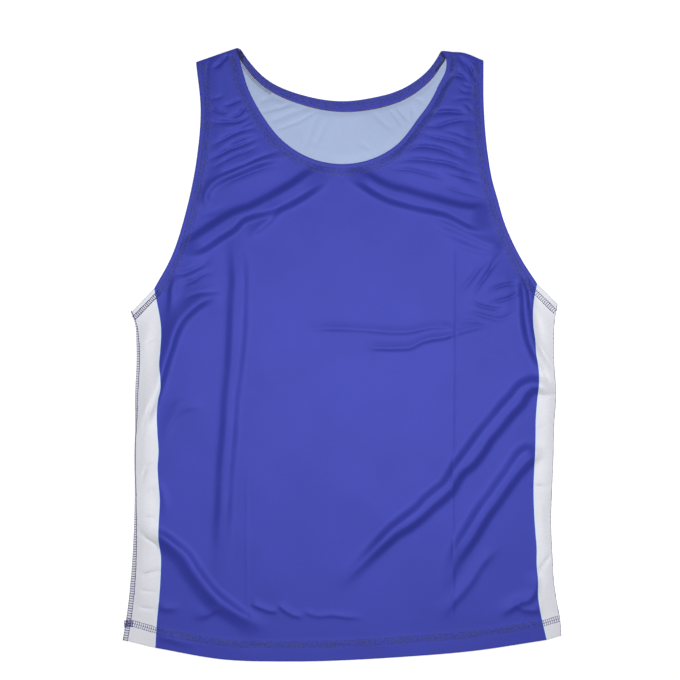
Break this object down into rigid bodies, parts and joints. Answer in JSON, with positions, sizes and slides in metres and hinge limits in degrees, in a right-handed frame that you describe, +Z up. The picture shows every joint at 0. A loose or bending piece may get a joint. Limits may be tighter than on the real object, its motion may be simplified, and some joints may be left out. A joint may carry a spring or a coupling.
{
  "type": "boxing singlet",
  "caption": "Sleeveless boxing singlet laid flat: a blue front panel with white side bands and a deep round neck lies on a back panel with a shallow neck.",
  "frame": {"origin": "on the surface that the garment lies on, under the middle of its box", "axes": "+Y from the bottom hem towards the shoulders, +X across the garment to the picture's right, +Z up out of the surface, towards the front panel"},
  "size_m": [0.516, 0.7209, 0.0086],
  "materials": {
    "blue_white_knit": "smooth printed polyester knit, blue with white side bands, slight sheen",
    "back_knit": "smooth printed polyester knit, blue with white side bands outside and pale blue inside",
    "blue_hem_knit": "turned blue polyester knit with a coverstitch"
  },
  "bodies": {
    "root": {"front_panel": "blue_white_knit", "back_panel": "back_knit", "back_neck_hem": "blue_hem_knit"}
  },
  "joints": []
}
